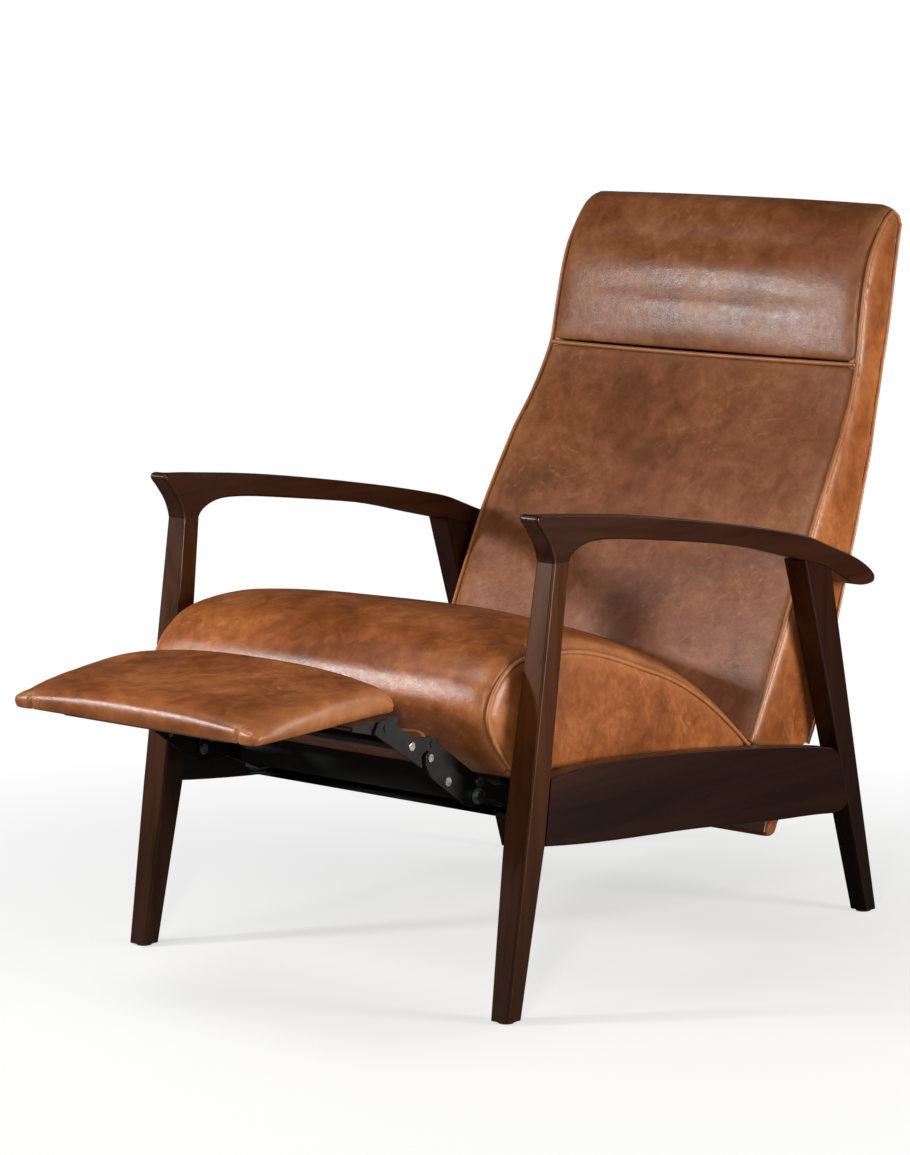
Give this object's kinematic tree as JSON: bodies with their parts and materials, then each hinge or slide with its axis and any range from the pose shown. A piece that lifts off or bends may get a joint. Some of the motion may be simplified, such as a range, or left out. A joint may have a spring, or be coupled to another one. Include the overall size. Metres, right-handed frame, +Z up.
{
  "type": "recliner armchair",
  "caption": "Push-back recliner armchair with an open dark wood frame, curved arms, leather seat, back and headrest, and a fold-out leather footrest on steel links.",
  "frame": {"origin": "on the floor, halfway between the front edge of the raised footrest and the rear of the back, on the chair's centre plane", "axes": "+Z up, +X towards the sitter's left, -Y where the sitter looks"},
  "size_m": [0.72, 1.3748, 1.0611],
  "materials": {
    "wood_dark": "espresso-stained hardwood, satin lacquer, eased edges",
    "inner_wood": "unfinished hardwood and plywood",
    "leather": "cognac pull-up leather, semi-matt, welted seams",
    "black_steel": "black powder coat, satin",
    "zinc": "bright zinc plate",
    "nylon": "blue-green nylon",
    "felt": "pressed felt",
    "black_cloth": "black upholstery cloth and elastic webbing",
    "cover_plate": "grey-green moulded plate"
  },
  "bodies": {
    "frame": {"arm_left": "wood_dark", "arm_right": "wood_dark", "front_leg_left": "wood_dark", "front_leg_right": "wood_dark", "rear_leg_left": "wood_dark", "rear_leg_right": "wood_dark", "side_rail_left": "wood_dark", "side_rail_right": "wood_dark", "arm_dowels": "inner_wood", "cross_rail_front": "wood_dark", "cross_rail_middle": "inner_wood", "cross_rail_rear": "wood_dark", "corner_blocks": "inner_wood", "felt_pads": "felt", "seat_runner_left": "black_steel", "seat_runner_right": "black_steel"},
    "seat": {"seat_cushion": "leather", "seat_board_left": "inner_wood", "seat_board_right": "inner_wood", "seat_board_front": "black_cloth", "seat_board_rear": "inner_wood", "seat_webbing": "black_cloth", "seat_dust_cover": "black_cloth", "seat_glides": "nylon", "mechanism_plate_left": "black_steel", "mechanism_plate_right": "black_steel", "plate_screws": "zinc", "link_bolts": "zinc", "nylon_washers": "nylon", "control_rivets": "zinc", "back_pivot_bolts": "zinc"},
    "lower_links": {"lower_link_left": "black_steel", "lower_link_right": "black_steel", "knee_rivets": "zinc"},
    "control_links": {"control_link_left": "black_steel", "control_link_right": "black_steel"},
    "couplers": {"coupler_plate_left": "black_steel", "coupler_plate_right": "black_steel", "coupler_rivets": "black_steel", "footrest_cross_tube": "black_steel", "tube_screws": "zinc"},
    "footrest": {"footrest_board": "inner_wood", "footrest_pad": "leather", "footrest_cover": "cover_plate", "footrest_bracket_left": "black_steel", "footrest_bracket_right": "black_steel", "bracket_screws": "zinc"},
    "back": {"back_cushion": "leather", "headrest_cushion": "leather", "back_panel": "leather", "back_stile_left": "inner_wood", "back_stile_right": "inner_wood", "back_rail_lower": "inner_wood", "back_rail_middle": "inner_wood", "back_rail_upper": "inner_wood", "back_webbing": "black_cloth", "back_bracket_left": "black_steel", "back_bracket_right": "black_steel"}
  },
  "joints": [
    {"name": "seat_glide", "type": "slide", "parent": "frame", "child": "seat", "axis": [0, -1, 0], "range_m": [-0.009, 0.0401]},
    {"name": "back_recline", "type": "hinge", "parent": "seat", "child": "back", "pos_m": [0, 0.312, 0.3], "axis": [-1, 0, 0], "range_deg": [-6, 27]},
    {"name": "footrest_fold", "type": "hinge", "parent": "seat", "child": "lower_links", "pos_m": [0, -0.285, 0.296], "axis": [1, 0, 0], "range_deg": [0, 174.4]},
    {"name": "control_fold", "type": "hinge", "parent": "seat", "child": "control_links", "pos_m": [0, -0.27367, 0.31248], "axis": [1, 0, 0], "range_deg": [-0.5, 175]},
    {"name": "coupler_pivot", "type": "hinge", "parent": "lower_links", "child": "couplers", "pos_m": [0, -0.38389, 0.36397], "axis": [1, 0, 0], "range_deg": [-175, 0.5]},
    {"name": "footrest_pivot", "type": "hinge", "parent": "couplers", "child": "footrest", "pos_m": [0, -0.467, 0.4166], "axis": [1, 0, 0], "range_deg": [-0.5, 89]}
  ],
  "couplings": [
    {"joint": "seat_glide", "follows": "back_recline", "m_per_rad": 0.084883},
    {"joint": "control_fold", "follows": "footrest_fold", "ratio": 1},
    {"joint": "coupler_pivot", "follows": "footrest_fold", "ratio": -1},
    {"joint": "footrest_pivot", "follows": "footrest_fold", "ratio": 0.50745}
  ]
}
